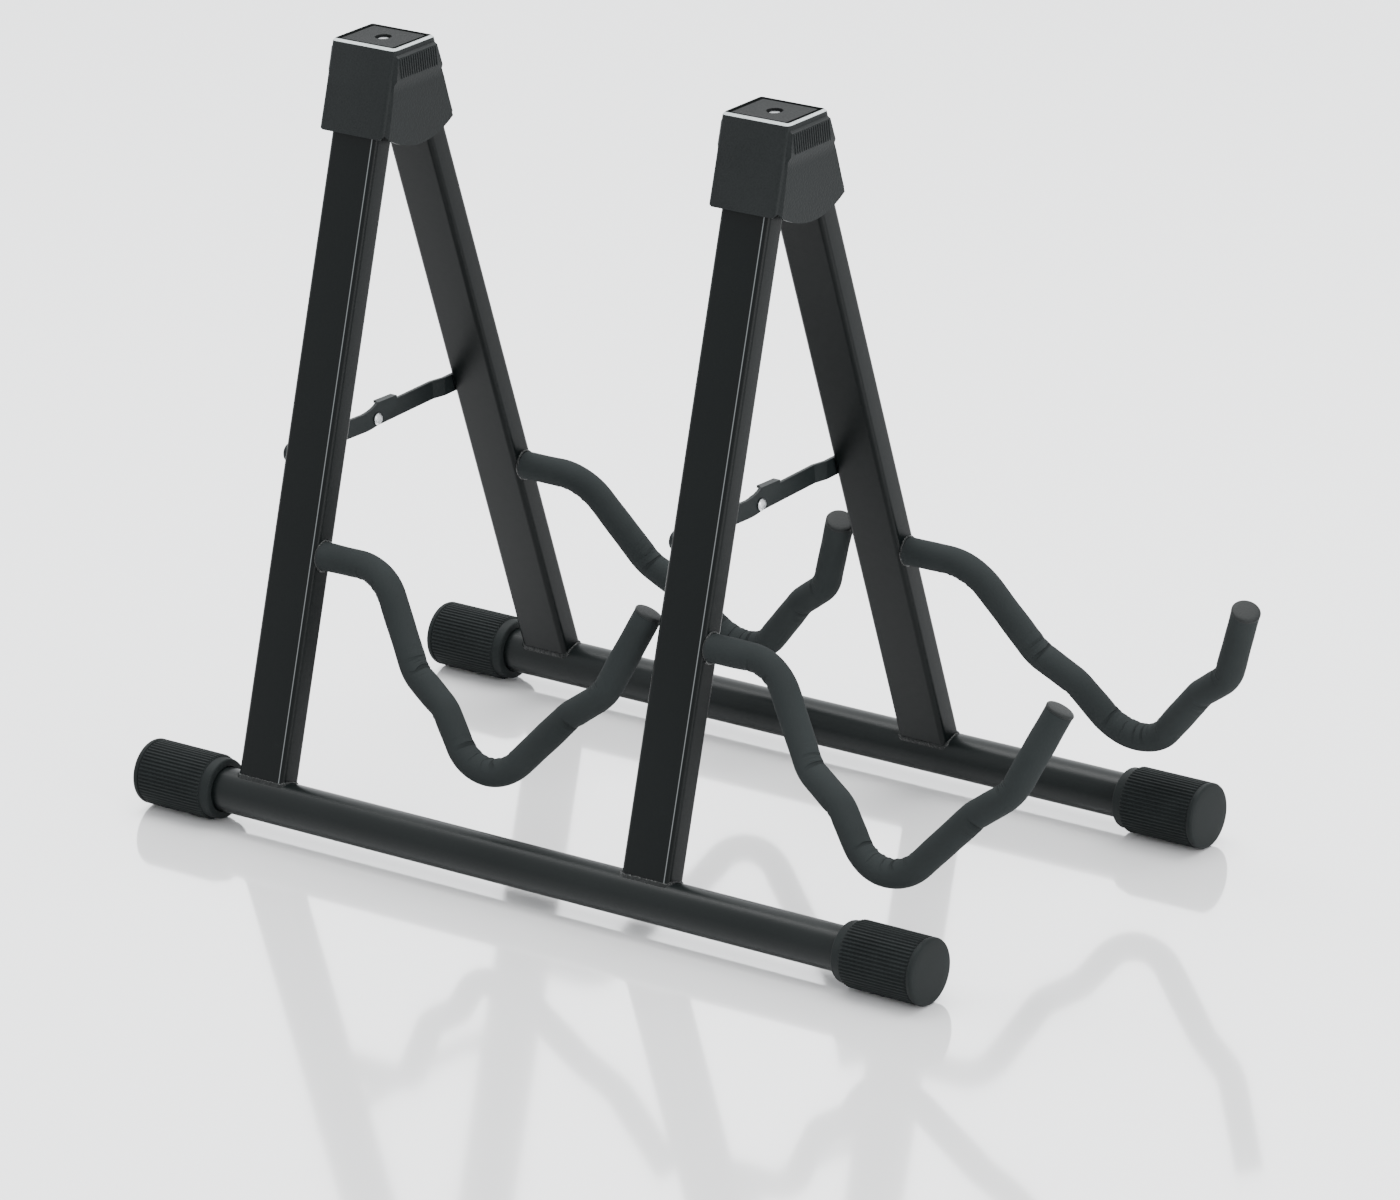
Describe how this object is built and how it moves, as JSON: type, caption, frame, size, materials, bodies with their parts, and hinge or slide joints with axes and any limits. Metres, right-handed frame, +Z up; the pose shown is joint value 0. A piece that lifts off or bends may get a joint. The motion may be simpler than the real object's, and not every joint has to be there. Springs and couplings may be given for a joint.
{
  "type": "folding guitar rack",
  "caption": "Folding double A-frame floor rack that holds guitars on foam-covered bent arms, with hinged head caps and folding braces.",
  "frame": {"origin": "on the floor, under the middle of the overall box", "axes": "+Z up; +X along the base tubes, the way the arms point; -Y is the front frame and +Y the rear frame"},
  "size_m": [0.5908, 0.2958, 0.4215],
  "materials": {
    "tube_paint": "gloss black",
    "leg_paint": "satin black powder coat",
    "foot_rubber": "matt, ribbed",
    "foam": "closed-cell foam, matt",
    "plastic": "fine grained moulding",
    "pad": "matt",
    "steel": "zinc plated"
  },
  "bodies": {
    "front_frame": {"arm_plug_front_left": "plastic", "arm_plug_front_right": "plastic", "arm_rod_front_left": "leg_paint", "arm_rod_front_right": "leg_paint", "brace_rivet_front_left": "steel", "brace_rivet_front_right": "steel", "foam_sleeve_front_left": "foam", "foam_sleeve_front_right": "foam", "foot_front_left": "foot_rubber", "foot_front_right": "foot_rubber", "front_base_tube": "tube_paint", "front_leg_left": "leg_paint", "front_leg_right": "leg_paint"},
    "rear_frame": {"arm_plug_rear_left": "plastic", "arm_plug_rear_right": "plastic", "arm_rod_rear_left": "leg_paint", "arm_rod_rear_right": "leg_paint", "brace_rivet_rear_left": "steel", "brace_rivet_rear_right": "steel", "foam_sleeve_rear_left": "foam", "foam_sleeve_rear_right": "foam", "foot_rear_left": "foot_rubber", "foot_rear_right": "foot_rubber", "rear_base_tube": "tube_paint", "rear_leg_left": "leg_paint", "rear_leg_right": "leg_paint"},
    "head_left": {"cap_screw_left": "steel", "head_bracket_left": "steel", "head_cap_left": "plastic", "head_pin_front_left": "steel", "head_pin_rear_left": "steel", "top_pad_left": "pad"},
    "head_right": {"cap_screw_right": "steel", "head_bracket_right": "steel", "head_cap_right": "plastic", "head_pin_front_right": "steel", "head_pin_rear_right": "steel", "top_pad_right": "pad"},
    "link_front_left": {"brace_link_front_left": "leg_paint", "mid_rivet_head_left": "steel"},
    "link_front_right": {"brace_link_front_right": "leg_paint", "mid_rivet_head_right": "steel"},
    "link_rear_left": {"brace_link_rear_left": "leg_paint", "mid_rivet_tail_left": "steel"},
    "link_rear_right": {"brace_link_rear_right": "leg_paint", "mid_rivet_tail_right": "steel"}
  },
  "joints": [
    {"name": "head_left_pivot", "type": "hinge", "parent": "front_frame", "child": "head_left", "pos_m": [-0.21445, -0.0187, 0.38108], "axis": [-1, 0, 0], "range_deg": [0, 17]},
    {"name": "head_right_pivot", "type": "hinge", "parent": "front_frame", "child": "head_right", "pos_m": [0.05055, -0.0187, 0.38108], "axis": [-1, 0, 0], "range_deg": [0, 17]},
    {"name": "rear_frame_pivot", "type": "hinge", "parent": "head_left", "child": "rear_frame", "pos_m": [-0.21445, 0.0187, 0.38108], "axis": [-1, 0, 0], "range_deg": [0, 17]},
    {"name": "brace_front_left_pivot", "type": "hinge", "parent": "front_frame", "child": "link_front_left", "pos_m": [-0.21445, -0.07393, 0.20042], "axis": [1, 0, 0], "range_deg": [0, 59.91]},
    {"name": "brace_rear_left_pivot", "type": "hinge", "parent": "rear_frame", "child": "link_rear_left", "pos_m": [-0.21445, 0.07393, 0.20042], "axis": [-1, 0, 0], "range_deg": [0, 59.91]},
    {"name": "brace_front_right_pivot", "type": "hinge", "parent": "front_frame", "child": "link_front_right", "pos_m": [0.05055, -0.07393, 0.20042], "axis": [1, 0, 0], "range_deg": [0, 59.91]},
    {"name": "brace_rear_right_pivot", "type": "hinge", "parent": "rear_frame", "child": "link_rear_right", "pos_m": [0.05055, 0.07393, 0.20042], "axis": [-1, 0, 0], "range_deg": [0, 59.91]}
  ],
  "couplings": [
    {"joint": "head_right_pivot", "follows": "head_left_pivot", "ratio": 1},
    {"joint": "rear_frame_pivot", "follows": "head_left_pivot", "ratio": 1},
    {"joint": "brace_front_left_pivot", "follows": "head_left_pivot", "ratio": 3.5238},
    {"joint": "brace_rear_left_pivot", "follows": "head_left_pivot", "ratio": 3.5238},
    {"joint": "brace_front_right_pivot", "follows": "head_left_pivot", "ratio": 3.5238},
    {"joint": "brace_rear_right_pivot", "follows": "head_left_pivot", "ratio": 3.5238}
  ]
}
